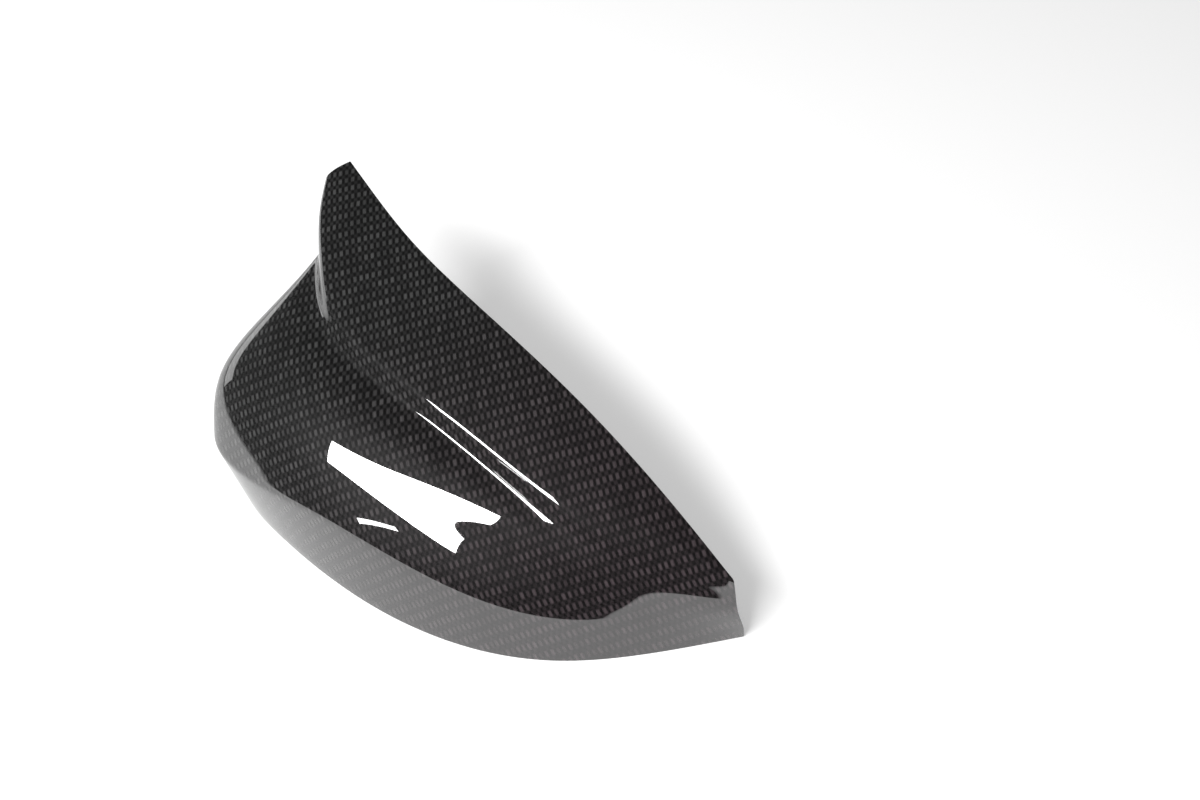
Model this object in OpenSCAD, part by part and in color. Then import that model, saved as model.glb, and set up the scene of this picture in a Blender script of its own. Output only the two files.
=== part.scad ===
// Wing mirror cover: one moulded shell with a horn on its inboard end.
// It is open at the back, where the mirror glass sits, and open at the foot.
// +X runs outboard, from the tip of the horn to the outer end, +Y to the rear and +Z up.
// The origin is on the floor, under the middle of the cover's length and depth.

/* [Cover] */
// Length from the tip of the horn to the outer end
cap_length = 261; // [220:1:300]
// Depth from the rear edge to the front of the bulge
cap_depth = 119; // [95:1:140]
// Height from the lower edge to the top of the horn
cap_height = 88; // [72:1:105]
// Thickness of the moulded wall
wall_t = 2.5; // [1.8:0.1:3]

/* [Horn and ridge] */
// Height of the front face at the tip of the horn
horn_face_h = 11.5; // [9:0.5:13]
// Drop of the step in front of the ridge
step_h = 3; // [2:0.1:4]
// Run of that step towards the front
step_run = 4; // [3:0.1:5]
// Reach of the rounding on each side of the ridge
ridge_r = 2.2; // [1.5:0.1:3.5]
// Crown of the top strip between the rear edge and the ridge
strip_crown = 1.2; // [0:0.1:2.5]

/* [Rear frame] */
// Thickness of the tongue inside the rear edge
tongue_t = 1.5; // [1:0.1:2]
// Width of the groove between the skin and the tongue
groove_w = 2; // [1.5:0.1:3]
// Depth of that groove
groove_d = 4; // [2:0.1:6]
// Depth of the moulded line round the inboard lip
lip_line_d = 1.4; // [1:0.1:2]
// Setback of the web and the tongue from the rear edge
setback = 0.6; // [0.3:0.1:1]
// Thickness of the web and of the groove's floor
web_t = 2; // [1.5:0.1:3]

/* [Snap tabs] */
// Number of snap tabs under the top of the rear frame
tab_count = 3; // [2:1:5]
// Width of a snap tab along the rear edge
tab_w = 12; // [8:1:16]
// Reach of a snap tab below the tongue
tab_reach = 7; // [5:0.5:10]
// Thickness of a snap tab
tab_t = 2; // [1.5:0.1:3]
// Height of the nose at the end of a snap tab
tab_nose = 1.2; // [0.8:0.1:2]

/* [Hidden] */

// Guide rows in millimetres from the outer lower corner, each from inboard to outboard.
// Rear top edge, from the tip of the horn to the outer end
rear_edge = [[-260.6, -1.8, 87.6], [-243, -4.5, 86], [-222, -7.5, 83.6], [-196, -9.8, 80.5],
    [-162, -9.4, 77.5], [-122, -7.8, 73.5], [-80, -5.6, 65], [-40, -3.8, 50.5], [-8.4, -1.8, 33.6]];
// Ridge along the front of the horn and of the top strip
ridge = [[-260.5, -16.5, 85.5], [-245, -31, 83.4], [-223, -44, 79.8], [-195, -59.5, 72],
    [-163, -57, 68.6], [-124, -49.5, 64.8], [-84, -43.5, 56.5], [-44, -32, 43], [-7, -1.5, 28]];
// Underside of the horn, then the upper body
upper_body = [[-262, -1.5, 73], [-245, -14, 72], [-234, -46, 68], [-210, -77, 67],
    [-171, -77, 65], [-131, -69, 60.5], [-90, -60, 49.5], [-51, -47, 35], [-5.5, -1.2, 20]];
// Root of the horn, then the middle of the body
mid_body = [[-241, -3.5, 75.5], [-234, -20, 69.5], [-234, -61, 60], [-221, -92, 60],
    [-176, -94, 59], [-135, -86, 53.5], [-94, -74, 42], [-55, -56, 28], [-4, -1, 16]];
// Neck of the leg, then the shoulder of the bulge
shoulder = [[-214, -5, 73], [-218, -32, 60], [-231, -77, 49], [-229, -110, 46],
    [-181, -108, 49], [-139, -99, 44], [-98, -86, 33], [-58, -64, 20], [-3, -0.8, 11]];
// Leg, then the crease above the lower front, which fades outboard
lower_crease = [[-193, -5, 52], [-205, -38, 40], [-219, -86, 33], [-216, -122, 27],
    [-171, -117.5, 29], [-137, -109, 30], [-95, -95, 20], [-55, -73, 11], [-1.5, -0.5, 6]];
// Lower edge, all of it on the floor
lower_edge = [[-197.7, -5, 0], [-201, -42, 0], [-203, -85, 0], [-204, -117, 0],
    [-170, -116, 0], [-129, -111, 0], [-84, -98, 0], [-36, -67, 0], [0, 0, 0]];
// Lip of the opening, from under the top strip round the corner and down the leg
lip_corner = [[-172, -9.3, 73.2], [-181, -9, 70], [-186.5, -8, 60], [-190.5, -7, 45],
    [-192.5, -6, 22], [-192.8, -5, 0]];
// Share of the horn's face height that each column of the ridge keeps, up to the body
horn_fade = [1, 0.95, 0.77];

u_last = len(rear_edge) - 1;
v_last = 12;
v_underside = 6;
// Column where the lip leaves the top edge for the inboard corner of the opening
corner_u = 4;
// Shares of the frame's depth along the outer end and at its top corner, and the run of the change
end_room = 0.45;
corner_room = 0.25;
fade_run = 30;
// Share of the groove's width lost on its outer side at the floor, as draft
groove_draft = 0.35;
// How deep a snap tab sits in the back of the frame
overlap = 0.4;
// Steps of the mesh in each span, along the cover and down each section
u_steps = [for (span = [0:u_last - 1]) span < 4 ? 7 : 5];
v_steps = [3, 3, 2, 3, 2, 3, 3, 3, 2, 2, 2, 3];
function stations(steps) = concat(
    [for (span = [0:len(steps) - 1]) for (k = [0:steps[span] - 1]) span + k / steps[span]],
    [len(steps)]);
us = stations(u_steps);
vs = stations(v_steps);
nu = len(us);
nv = len(vs);

function unit(a) = a / norm(a);
function mix(a, b, share) = a + (b - a) * share;
function ease(low, high, x) = let (t = min(max((x - low) / (high - low), 0), 1)) t * t * (3 - 2 * t);
// Cubic B-spline through the first and the last point, with one point for each whole t
function padded(p) = concat([2 * p[0] - p[1]], p, [2 * p[len(p) - 1] - p[len(p) - 2]]);
function spline(q, t) = let (i = min(floor(t), len(q) - 4), f = t - i)
    (pow(1 - f, 3) * q[i] + (3 * pow(f, 3) - 6 * f * f + 4) * q[i + 1]
    + (1 + 3 * f + 3 * f * f - 3 * pow(f, 3)) * q[i + 2] + pow(f, 3) * q[i + 3]) / 6;

// Foot of the ridge: the horn's lower front edge, then the foot of the step
function ridge_foot(c) = c < len(horn_fade)
    ? ridge[c] + [1 - 2 * c, 1 - c / 2, -horn_face_h * horn_fade[c]]
    : ridge[c] + (c < u_last ? [-2, -step_run, -step_h] : [0.5, 0, -step_h]);
step_foot = [for (c = [0:u_last]) ridge_foot(c)];
rows = [for (row = [rear_edge, ridge, step_foot, upper_body, mid_body, shoulder, lower_crease,
    lower_edge]) padded(row)];

// Control points down the section at station u. The rounding reaches r on each side of the
// ridge, and the crease is sharp near the inboard corner only.
function section(u, r) = let (
    p = [for (row = rows) spline(row, u)],
    share = u / u_last,
    soft = (r + 8 * ease(0.72, 0.95, share)) * (1 - 0.8 * ease(0.9, 1, share)),
    keep = 0.5 - 0.38 * ease(0.1, 0.3, share) * (1 - ease(0.5, 0.75, share)),
    crown = (p[0] + p[1]) / 2 + [0, 0, strip_crown])
    padded([p[0], crown, p[1] + unit(crown - p[1]) * soft, p[1], p[2],
        p[2] + unit(p[3] - p[2]) * soft, p[3], p[4], p[5], mix(p[6], p[5], keep), p[6],
        mix(p[6], p[7], keep), p[7]]);
function grid_of(r) = [for (u = us) let (c = section(u, r)) [for (v = vs) spline(c, v)]];

// The drawn rows are fitted to the length, depth and height given above
drawn = grid_of(ridge_r);
drawn_points = [for (column = drawn) for (p = column) p];
function axis_span(k) = let (s = [for (p = drawn_points) p[k]]) [min(s), max(s)];
span_x = axis_span(0);
span_y = axis_span(1);
span_z = axis_span(2);
function fit(p) = [
    (p.x - (span_x[0] + span_x[1]) / 2) * cap_length / (span_x[1] - span_x[0]),
    (p.y - (span_y[0] + span_y[1]) / 2) * cap_depth / (span_y[1] - span_y[0]),
    p.z * cap_height / span_z[1]];
outer = [for (column = drawn) [for (p = column) fit(p)]];

// Outward normal of a grid at column i and row j. It turns level towards the floor, so that
// the wall ends square there, and lies in the plane of the horn's cut end at the tip.
function normal(grid, i, j) = let (
    along = grid[min(i + 1, nu - 1)][j] - grid[max(i - 1, 0)][j],
    down = grid[i][min(j + 1, nv - 1)] - grid[i][max(j - 1, 0)],
    n = unit(cross(down, along)))
    unit([i == 0 && vs[j] <= v_underside ? 0 : n.x, n.y, n.z * ease(0, 3 * wall_t, grid[i][j].z)]);

// The rear frame: stations along the rear edge, from the foot of the outer end over the top,
// across the tip of the horn and down to the foot of the leg. Each station is [column, row].
corner_i = [for (i = [0:nu - 1]) if (us[i] == corner_u) i][0];
underside_j = [for (j = [0:nv - 1]) if (vs[j] == v_underside) j][0];
rear_path = concat(
    [for (j = [nv - 1:-1:1]) [nu - 1, j]],
    [for (i = [nu - 1:-1:0]) [i, 0]],
    [for (j = [underside_j:nv - 1]) [0, j]]);
// How far round the inboard corner the lip is at a station: 0 on the top edge, 6 at the foot
function corner_t(i, j) = j == 0 ? (corner_u - us[i]) / 2
    : vs[j] < 8 ? 2 + (vs[j] - v_underside) / 2 : 3 + (vs[j] - 8) * 3 / 4;
function in_corner(i) = i <= corner_i;
function web_share(i, j) = in_corner(i) ? ease(0, 1, corner_t(i, j)) : 0;
// Share of the frame's depth that the skin leaves room for: less along the outer end, where the
// skin turns in, and least at the outer top corner
corner_p = outer[nu - 1][0];
function room(i, j) = let (full = i == nu - 1 ? end_room : 1, away = norm(outer[i][j] - corner_p))
    in_corner(i) ? 1 : mix(corner_room, full, ease(0, full * fade_run, away));
function channel_d(i, j) = mix(groove_d, lip_line_d, web_share(i, j)) * room(i, j);
function frame_d(i, j) = channel_d(i, j) + web_t * room(i, j);
function path_point(s) = let (station = rear_path[s]) outer[station[0]][station[1]];
function path_s(i, j) = i == nu - 1 ? nv - 1 - j
    : j == 0 ? nv + nu - 2 - i
    : nv + nu - 1 + j - underside_j;
// Into the opening, square to the rear edge at a station: down at the tip and level at the floor
function into(i, j) = let (
    s = path_s(i, j),
    along = path_point(min(s + 1, len(rear_path) - 1)) - path_point(max(s - 1, 0)))
    i == 0 && j <= underside_j ? [0, 0, j == 0 ? -1 : 1]
        : unit([-along.z, 0, along.x * ease(0, 3 * wall_t, path_point(s).z)]);
function skin_edge(i, j) = outer[i][j] + into(i, j) * wall_t;
function edge_lip(i, j) = skin_edge(i, j) + into(i, j) * (groove_w + tongue_t);
corner_row = padded(concat([edge_lip(corner_i, 0)], [for (p = lip_corner) fit(p)]));
function lip(i, j) = in_corner(i) ? spline(corner_row, corner_t(i, j)) : edge_lip(i, j);
// Points across the frame at a station: the skin's edge, the web, the groove, the tongue and
// the front of the floor at the lip
function forward(p, d) = p - [0, d, 0];
function frame_section(i, j) = let (
    edge = skin_edge(i, j),
    end = lip(i, j),
    a = unit(end - edge),
    bank = end - a * min(tongue_t + groove_w, norm(end - edge) - 0.1),
    floor_side = bank + a * groove_w * groove_draft,
    root = end - a * tongue_t,
    back = setback * room(i, j),
    deep = channel_d(i, j))
    [edge, forward(edge, back), forward(bank, back + mix(0.4, 0.02, web_share(i, j)) * room(i, j)),
        forward(floor_side, deep), forward(root, deep), forward(root, back), forward(end, back),
        forward(end, frame_d(i, j))];
sections = [for (s = rear_path) frame_section(s[0], s[1])];
section_n = len(sections[0]);

// The inner face lies one wall inside a copy of the skin with a softer ridge. It starts where
// the floor of the rear frame meets it, and one wall behind the tip of the horn.
function skin_point(u, v) = fit(spline(section(u, ridge_r + wall_t), v));
function start_u(j) = (j < underside_j ? wall_t : lip_line_d + web_t)
    / norm(skin_point(1, vs[j]) - skin_point(0, vs[j]));
function end_u(j) = u_last - (groove_d + web_t + 1.2 * wall_t)
    / norm(skin_point(u_last, vs[j]) - skin_point(u_last - 1, vs[j]));
function start_v(u, depth) = min(1.8, depth / norm(skin_point(u, 1) - skin_point(u, 0)));
starts = [for (j = [0:nv - 1]) start_u(j)];
ends = [for (j = [0:nv - 1]) end_u(j)];
lining = [for (i = [0:nu - 1]) [for (j = [0:nv - 1]) let (
    u = mix(starts[j], ends[j], us[i] / u_last),
    top = start_v(u, frame_d(i, 0)))
    skin_point(u, mix(top, v_last, vs[j] / v_last))]];
inner = [for (i = [0:nu - 1]) [for (j = [0:nv - 1])
    lining[i][j] - normal(lining, i, j) * wall_t]];

// Two triangles for the four corners of a patch
function patch(a, b, c, d) = [[a, b, c], [a, c, d]];
function flat(lists) = [for (list = lists) for (item = list) item];
function reversed(list) = [for (k = [len(list) - 1:-1:0]) list[k]];
function middle_of(list) = list * [for (item = list) 1] / len(list);

// The moulding as one closed sheet: outer face, inner face, rear frame, horn tip and lower edge
module moulding() {
    side = nu * nv;
    first = 2 * side;
    tip = first + len(sections) * section_n;
    function out(i, j) = i * nv + j;
    function in(i, j) = side + i * nv + j;
    function ring(s) = concat([out(rear_path[s][0], rear_path[s][1])],
        [for (k = [0:section_n - 1]) first + s * section_n + k],
        [in(rear_path[s][0], rear_path[s][1])]);
    horn_tip = [for (j = [0:underside_j]) j];
    points = concat(flat(outer), flat(inner), flat(sections),
        [[for (k = [0:2]) middle_of([for (j = horn_tip) outer[0][j][k]])],
        [for (k = [0:2]) middle_of([for (j = horn_tip) inner[0][j][k]])]]);
    sheets = [for (i = [0:nu - 2]) for (j = [0:nv - 2]) concat(
        patch(out(i, j), out(i + 1, j), out(i + 1, j + 1), out(i, j + 1)),
        patch(in(i, j), in(i, j + 1), in(i + 1, j + 1), in(i + 1, j)))];
    frame = [for (s = [0:len(sections) - 2]) let (a = ring(s), b = ring(s + 1))
        for (k = [0:section_n]) patch(a[k], b[k], b[k + 1], a[k + 1])];
    tip_faces = [for (k = [0:underside_j]) let (n = (k + 1) % (underside_j + 1))
        [[out(0, k), out(0, n), tip], [in(0, n), in(0, k), tip + 1]]];
    last = len(sections) - 1;
    foot = concat([for (i = [0:nu - 1]) out(i, nv - 1)],
        [for (k = [1:section_n]) ring(0)[k]],
        [for (i = [nu - 1:-1:0]) in(i, nv - 1)],
        reversed([for (k = [1:section_n]) ring(last)[k]]));
    polyhedron(points, concat(flat(sheets), flat(frame), flat(tip_faces), [foot]), convexity = 8);
}

// A snap tab that hangs from the skin just in front of the rear frame: a tapered plate with a
// nose at its end and a gusset on each side. It is drawn along x, with its width along z.
module snap_tab(i) {
    edge = skin_edge(i, 0);
    inward = into(i, 0);
    tangent = cross(inward, [0, 1, 0]);
    sunk = wall_t / 3;
    root = forward(edge, frame_d(i, 0) - overlap) + inward * ((inner[i][0] - edge) * inward - sunk);
    root_w = tab_w + 3;
    channel_w = groove_w + tongue_t;
    reach = sunk + channel_w + tab_reach;
    module slab(x, y, depth, width) translate([x, y, -width / 2]) cube([0.6, depth, width]);
    multmatrix([
        [inward.x, 0, tangent.x, root.x],
        [inward.y, -1, tangent.y, root.y],
        [inward.z, 0, tangent.z, root.z],
        [0, 0, 0, 1]]) {
        hull() {
            slab(0, 0, tab_t, root_w);
            slab(reach - 0.6, 0, tab_t, tab_w);
        }
        hull() {
            slab(reach - 3 * tab_nose, tab_t - 0.1, tab_nose, tab_w);
            slab(reach - 0.6, tab_t - 0.3, 0.3, tab_w);
        }
        for (side = [-1, 1])
            translate([0, 0, side * (root_w / 2 - 1)])
                hull() {
                    slab(0, tab_t - 0.1, 2.5 * tab_t, 1);
                    slab(sunk + channel_w + tab_reach / 3, tab_t - 0.3, 0.3, 1);
                }
    }
}

module cover_shell() {
    color("dimgray") {
        moulding();
        for (k = [1:tab_count])
            snap_tab(round(mix(corner_i + 4, nu - 8, (k - 0.5) / tab_count)));
    }
}

cover_shell();
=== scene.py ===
# %% [markdown]
# # A wing mirror cover in glossy twill carbon
#
# The real object is one thin moulding that clips over the back of a car's wing mirror. Its
# outer face is dark twill under a thick clear coat, and its back and inside are plain black.
# A cover like this could be sculpted or built from a subdivided cage. Here it is a surface of
# two parameters worked out with numpy, because a clear coat shows every dent, and a formula
# has none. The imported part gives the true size, and the scene fits the surface to it.

import math

import bmesh
import bpy
import numpy as np
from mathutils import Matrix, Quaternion, Vector


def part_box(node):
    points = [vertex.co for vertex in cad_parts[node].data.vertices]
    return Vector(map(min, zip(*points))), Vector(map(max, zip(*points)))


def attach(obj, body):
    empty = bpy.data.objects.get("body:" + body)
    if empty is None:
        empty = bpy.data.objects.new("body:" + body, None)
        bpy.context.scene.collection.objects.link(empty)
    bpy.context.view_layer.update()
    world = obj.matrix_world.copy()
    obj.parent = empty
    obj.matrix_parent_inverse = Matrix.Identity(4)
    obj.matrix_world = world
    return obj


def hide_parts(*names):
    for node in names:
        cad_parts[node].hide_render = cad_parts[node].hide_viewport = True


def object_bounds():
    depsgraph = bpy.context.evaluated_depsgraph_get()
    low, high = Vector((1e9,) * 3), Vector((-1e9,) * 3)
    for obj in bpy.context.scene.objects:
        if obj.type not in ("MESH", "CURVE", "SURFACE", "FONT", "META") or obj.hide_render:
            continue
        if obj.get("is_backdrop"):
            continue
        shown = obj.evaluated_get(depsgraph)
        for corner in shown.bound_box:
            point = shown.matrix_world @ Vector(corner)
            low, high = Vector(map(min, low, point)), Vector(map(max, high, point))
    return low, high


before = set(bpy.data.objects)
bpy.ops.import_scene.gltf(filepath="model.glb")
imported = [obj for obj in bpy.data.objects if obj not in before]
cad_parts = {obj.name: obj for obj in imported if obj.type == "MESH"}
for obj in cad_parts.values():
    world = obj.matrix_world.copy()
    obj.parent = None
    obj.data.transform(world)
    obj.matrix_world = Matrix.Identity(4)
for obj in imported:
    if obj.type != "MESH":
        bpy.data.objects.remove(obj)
cad_box = [list(corner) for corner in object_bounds()]
cad_low, cad_high = [np.array(corner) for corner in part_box("cover_shell")]
print("CAD box in mm:", np.round((cad_high - cad_low) * 1000, 1))

# %% [markdown]
# ## The camera
#
# The photo looks down on the cover from its outer front side. The camera comes first, since
# the look of every highlight is judged through it. It is placed by its own place and the
# point on the floor that it aims at, and its lens has the photo's angle of view.

# %% Camera
CAMERA_PLACE = Vector((0.2932, -0.1587, 0.4385))
CAMERA_AIM = Vector((-0.0047, 0.0993, 0.0))
LENS_MM = 37.5

camera = bpy.data.objects.new("camera", bpy.data.cameras.new("camera"))
bpy.context.scene.collection.objects.link(camera)
camera.location = CAMERA_PLACE
camera.rotation_euler = (CAMERA_AIM - CAMERA_PLACE).to_track_quat("-Z", "Y").to_euler()
camera.data.lens = LENS_MM
camera.data.sensor_width = 36
camera.data.clip_start = 0.01
bpy.context.scene.camera = camera
print("camera to aim in mm:", round((CAMERA_AIM - CAMERA_PLACE).length * 1000))

# %% [markdown]
# ## Guide rows
#
# Eight rows of points run from the horn at the inboard end to the outer end, like the battens
# along a boat's hull. They are in millimetres from the outer lower corner, with x outboard,
# y to the rear and z up. A smooth curve through each row, and then a smooth section across
# the rows, gives a point of the skin for any pair of parameters.

# %% Guide rows
REAR_EDGE = [(-260.6, -1.8, 87.6), (-243, -4.5, 86), (-222, -7.5, 83.6), (-196, -9.8, 80.5),
             (-162, -9.4, 77.5), (-122, -7.8, 73.5), (-80, -5.6, 65), (-40, -3.8, 50.5),
             (-8.4, -1.8, 33.6)]
RIDGE = [(-260.5, -16.5, 85.5), (-245, -31, 83.4), (-223, -44, 79.8), (-195, -59.5, 72),
         (-163, -57, 68.6), (-124, -49.5, 64.8), (-84, -43.5, 56.5), (-44, -32, 43),
         (-6, -2.6, 30)]
UPPER_BODY = [(-262, -1.5, 73), (-245, -14, 72), (-234, -46, 68), (-210, -77, 67),
              (-171, -77, 65), (-131, -69, 60.5), (-90, -60, 49.5), (-45.7, -43.9, 34.2),
              (-2.8, -4, 23)]
MID_BODY = [(-241, -3.5, 75.5), (-234, -20, 69.5), (-234, -61, 60), (-221, -92, 60),
            (-176, -94, 59), (-135, -86, 53.5), (-94, -74, 42), (-46.8, -51.4, 28.2),
            (-1.5, -3.8, 18.5)]
SHOULDER = [(-214, -5, 73), (-218, -32, 60), (-231, -77, 49), (-229, -110, 46),
            (-181, -108, 49), (-139, -97.5, 47), (-98, -85, 38), (-48.2, -59.3, 25.6),
            (-0.5, -2.2, 12)]
LOWER_CREASE = [(-193, -5, 52), (-205, -38, 40), (-219, -86, 33), (-216, -122, 27),
                (-171, -117.5, 31), (-137, -106.5, 38), (-95, -93, 30), (-47, -66.5, 19),
                (0, -0.8, 6.5)]
LOWER_EDGE = [(-197.7, -5, 0), (-201, -42, 0), (-203, -85, 0), (-204, -117, 0),
              (-170, -116, 0), (-129, -111, 0), (-84, -98, 0), (-36, -67, 0), (0, 0, 0)]
LAST_U = len(REAR_EDGE) - 1
print("drawn rows: 7, each of", LAST_U + 1, "points")

# %% [markdown]
# The eighth row is not drawn but set off from the ridge. On the horn it is the foot of the
# cut face, and further out the foot of the narrow step that catches the light in two streaks.

# %% Foot of the step
HORN_FACE = 11.5
HORN_FADE = (1, 0.95, 0.77)
STEP_RUN = (3.8, 4, 3.8, 3.2, 5.2)
STEP_DROP = (5.6, 6, 5.8, 5, 3.6)
STEP_INBOARD = 2
END_STEP = (1.4, -0.6, -3)


def ridge_foot(c):
    """The foot under point c of the ridge. On the horn each foot lies 2 mm further inboard
    and half a millimetre further forward than the one before, below the cut face. Then it is
    the foot of the step in front of the ridge, which closes up at the outer end."""
    if c < len(HORN_FADE):
        return np.add(RIDGE[c], (1 - 2 * c, 1 - c / 2, -HORN_FACE * HORN_FADE[c]))
    if c == LAST_U:
        return np.add(RIDGE[c], END_STEP)
    k = c - len(HORN_FADE)
    return np.add(RIDGE[c], (-STEP_INBOARD, -STEP_RUN[k], -STEP_DROP[k]))


STEP_FOOT = [ridge_foot(c) for c in range(LAST_U + 1)]
ROWS = [REAR_EDGE, RIDGE, STEP_FOOT, UPPER_BODY, MID_BODY, SHOULDER, LOWER_CREASE, LOWER_EDGE]
print(len(ROWS), "guide rows of", LAST_U + 1, "points")

# %% [markdown]
# ## Small tools
#
# A cubic B-spline blends four neighbouring points with weights that always add up to one. It
# doesn't overshoot, which is why it draws fairer panels than a curve forced through every
# point. One reflected point outside each end makes the curve start and stop where the row
# does.

# %% Vectors and easing
def unit(a):
    """The vectors of a, each divided by its length."""
    return a / np.maximum(np.linalg.norm(a, axis=-1, keepdims=True), 1e-9)


def mix(a, b, share):
    """a where share is 0 and b where it is 1."""
    return a + (b - a) * share


def ease(low, high, x):
    """0 below low, 1 above high, and 3t^2 - 2t^3 between them."""
    t = np.clip((x - low) / (high - low), 0, 1)
    return t * t * (3 - 2 * t)


print("a quarter of the way eases to", ease(0, 1, 0.25))


# %% Spline
def padded(points):
    """The points, with the first reflected about its start and the last about its end."""
    p = np.asarray(points, float)
    return np.concatenate([2 * p[:1] - p[1:2], p, 2 * p[-1:] - p[-2:-1]])


def blend_weights(t, count):
    """First index and four weights for each t. With f the part of t after the whole number,
    they are (1-f)^3, 3f^3-6f^2+4, 1+3f+3f^2-3f^3 and f^3, each over six."""
    first = np.clip(np.floor(t).astype(int), 0, count - 4)
    f = t - first
    parts = [(1 - f) ** 3, 3 * f**3 - 6 * f**2 + 4, 1 + 3 * f + 3 * f**2 - 3 * f**3, f**3]
    return first, np.stack(parts, -1) / 6


def spline(points, t):
    """The B-spline of a row of points at every t."""
    first, blend = blend_weights(t, len(points))
    return (points[first[..., None] + np.arange(4)] * blend[..., None]).sum(-2)


print("weights in the middle of a span:", blend_weights(np.array(0.5), 4)[1].round(3))

# %% [markdown]
# ## The skin
#
# Down each section, thirteen control points come from the eight rows. Extra points close to
# the ridge keep its edge tight, and a pair beside the crease sharpens it near the inboard
# corner only, where the real cover is pressed sharpest. The whole face is one function of u,
# from the horn to the outer end, and v, from the rear edge over the ridge to the floor. The
# numbers below are in drawn millimetres, and each run is a pair of shares of the way along u.

# %% Control points of the sections
PADDED_ROWS = np.stack([padded(row) for row in ROWS])
LAST_V = 12
UNDERSIDE_V = 6
RIDGE_R, CROWN = 4, 1.2
RIDGE_GROWTH, GROWTH_RUN = 8, (0.72, 0.95)
RIDGE_CLOSING, CLOSING_RUN = 0.8, (0.9, 1)
MOST_OF_STEP = 0.6
CREASE_OPEN, CREASE_PULL = 0.5, 0.38
CREASE_IN, CREASE_OUT = (0.1, 0.3), (0.62, 0.9)


def sections(u, reach):
    """Control points down the section at each u. reach is how far the rounding of the ridge
    goes to each side. It widens towards the outer end, closes up again at the very end, and
    takes up no more than a share of the step below it."""
    first, blend = blend_weights(u, PADDED_ROWS.shape[1])
    p = (PADDED_ROWS[:, first[..., None] + np.arange(4)] * blend[..., None]).sum(-2)
    share = (u / LAST_U)[..., None]
    closing = 1 - RIDGE_CLOSING * ease(*CLOSING_RUN, share)
    soft = (reach + RIDGE_GROWTH * ease(*GROWTH_RUN, share)) * closing
    pull = CREASE_PULL * ease(*CREASE_IN, share) * (1 - ease(*CREASE_OUT, share))
    keep = CREASE_OPEN - pull
    crown = (p[0] + p[1]) / 2 + np.array([0, 0, CROWN])
    above = p[1] + unit(crown - p[1]) * soft
    fall = np.linalg.norm(p[3] - p[2], axis=-1, keepdims=True)
    below = mix(p[2], p[3], np.minimum(soft / fall, MOST_OF_STEP))
    column = [p[0], crown, above, p[1], p[2], below, p[3], p[4], p[5], mix(p[6], p[5], keep),
              p[6], mix(p[6], p[7], keep), p[7]]
    return np.stack([2 * p[0] - crown, *column, 2 * p[7] - column[-2]], axis=-2)


print("points down a section, reflected ends too:", sections(np.array([2.0]), RIDGE_R).shape[1])


# %% Drawn skin
def drawn_skin(u, v, reach=RIDGE_R):
    """The skin as drawn, at each pair u, v: a B-spline down the section at u."""
    u, v = np.broadcast_arrays(np.clip(u, 0, LAST_U), np.clip(v, 0, LAST_V))
    control = sections(u, reach)
    first, blend = blend_weights(v, control.shape[-2])
    near = np.take_along_axis(control, (first[..., None] + np.arange(4))[..., None], axis=-2)
    return (near * blend[..., None]).sum(-2)


FINE_U, FINE_V = np.linspace(0, LAST_U, 401), np.linspace(0, LAST_V, 481)
drawn = drawn_skin(FINE_U[:, None], FINE_V[None, :])
drawn_low, drawn_high = drawn.min((0, 1)), drawn.max((0, 1))
FIT = (cad_high - cad_low) / (drawn_high - drawn_low)
print("metres for each drawn millimetre:", FIT.round(7))


# %% Skin in the part's box
def fit(p):
    """A drawn point moved and stretched into the part's box."""
    return cad_low + (p - drawn_low) * FIT


def skin(u, v, reach=RIDGE_R):
    """A point of the skin in metres for each pair u, v."""
    return fit(drawn_skin(u, v, reach))


def slopes(u, v):
    """How the skin moves for one step of u and for one of v, from points on either side."""
    h = 1e-3
    left, right = np.clip(u - h, 0, LAST_U), np.clip(u + h, 0, LAST_U)
    up, down = np.clip(v - h, 0, LAST_V), np.clip(v + h, 0, LAST_V)
    along = (skin(right, v) - skin(left, v)) / (right - left)[..., None]
    across = (skin(u, down) - skin(u, up)) / (down - up)[..., None]
    return along, across


print("horn's top corner in mm:", (skin(0, 0) * 1000).round(2))

# %% [markdown]
# ## The grid of the outer face
#
# Every outer edge of a moulding has a small rounding, and a clear coat draws a bright line
# along it. A Bevel modifier could add it, but it would also cut into the long thin faces of
# the grid. Here the grid gets closer columns and rows next to its borders, and there each
# point sinks along a quarter circle, so the rounding is part of the surface.

# %% Outer grid
MM = 0.001
EDGE_R = 0.7 * MM
FOOT_R = 0.5 * MM
BORDER = 5
QUARTER = 1 - np.cos(np.linspace(0, math.pi / 2, BORDER + 1))[:, None]
GRID_U = [24] * 4 + [19] * 4
GRID_V = [9, 9, 8, 10, 8, 11, 10, 9, 6, 6, 6, 7]


def stations(steps):
    """Whole numbers joined by equal steps, such as 0, 1/3, 2/3, 1 for three steps."""
    spans = [k + np.arange(n) / n for k, n in enumerate(steps)]
    return np.concatenate([*spans, [len(steps)]])


def bordered(low, high, nominal):
    """Parameters with a close border at both ends: low counts up from 0, high counts back
    from the last one, and the nominal ones in between are squeezed to fit."""
    last = nominal[-1]
    shares = (nominal[1:-1] / last)[:, None]
    return np.concatenate([low, mix(low[-1:], last - high[-1:], shares), last - high[::-1]])


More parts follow.
